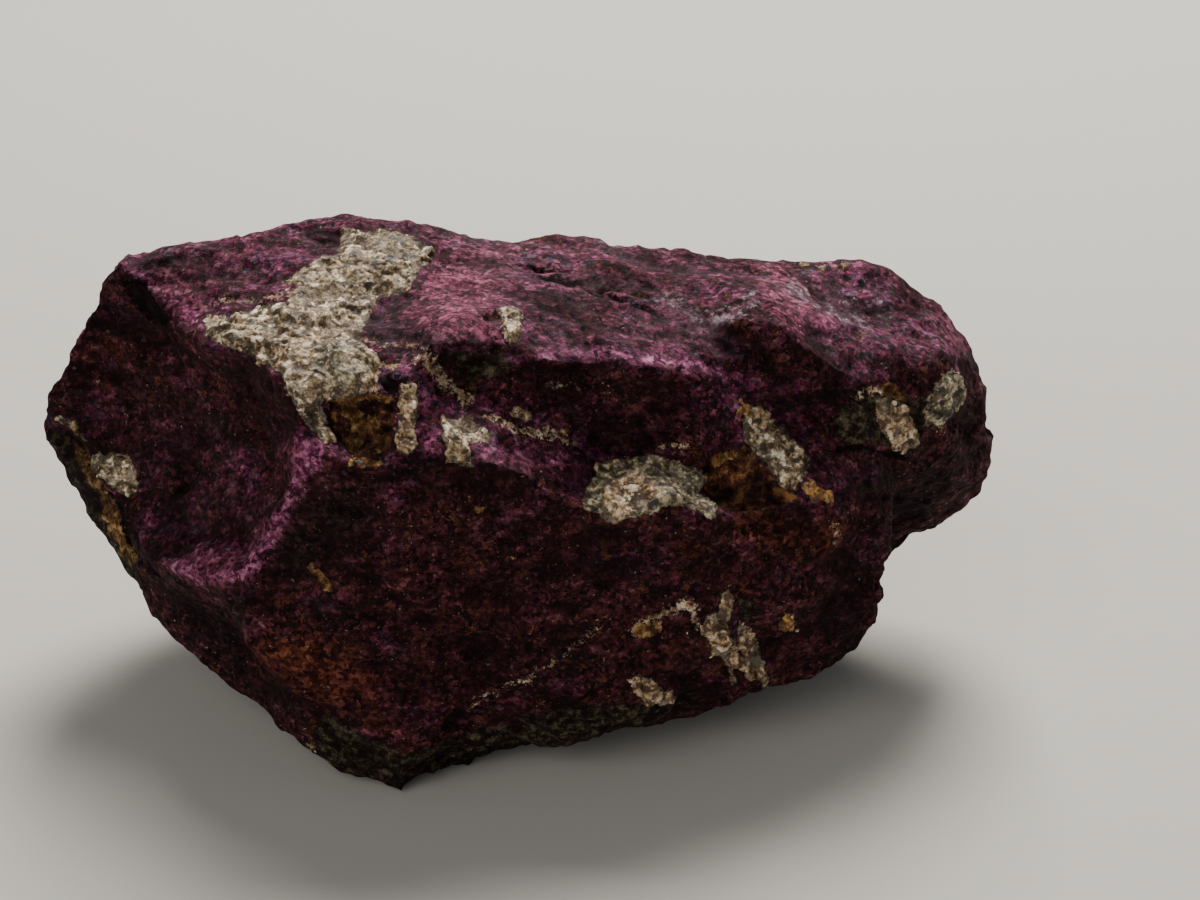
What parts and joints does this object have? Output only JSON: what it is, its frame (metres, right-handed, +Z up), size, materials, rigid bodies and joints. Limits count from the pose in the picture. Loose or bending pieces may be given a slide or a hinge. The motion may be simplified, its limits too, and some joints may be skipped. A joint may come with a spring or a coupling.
{
  "type": "rough purpurite specimen",
  "caption": "Rough lump of purple purpurite with a scooped end, a ledge and shelf along the front, a rounded rear lobe and grown-in quartz, mica and feldspar; rests on a small flat spot",
  "frame": {"origin": "at the centre of the bounding box in plan, at the height of the flat spot that it rests on", "axes": "+X along its length from the scooped end to the rounded lobe, +Y from the dark front face to the hidden back, +Z up"},
  "size_m": [0.0648, 0.0324, 0.0312],
  "materials": {
    "purpurite": "dark maroon to violet-purple mineral, dull with a satin sheen on its cleavage faces"
  },
  "bodies": {
    "root": {"purpurite_stone": "purpurite"}
  },
  "joints": []
}
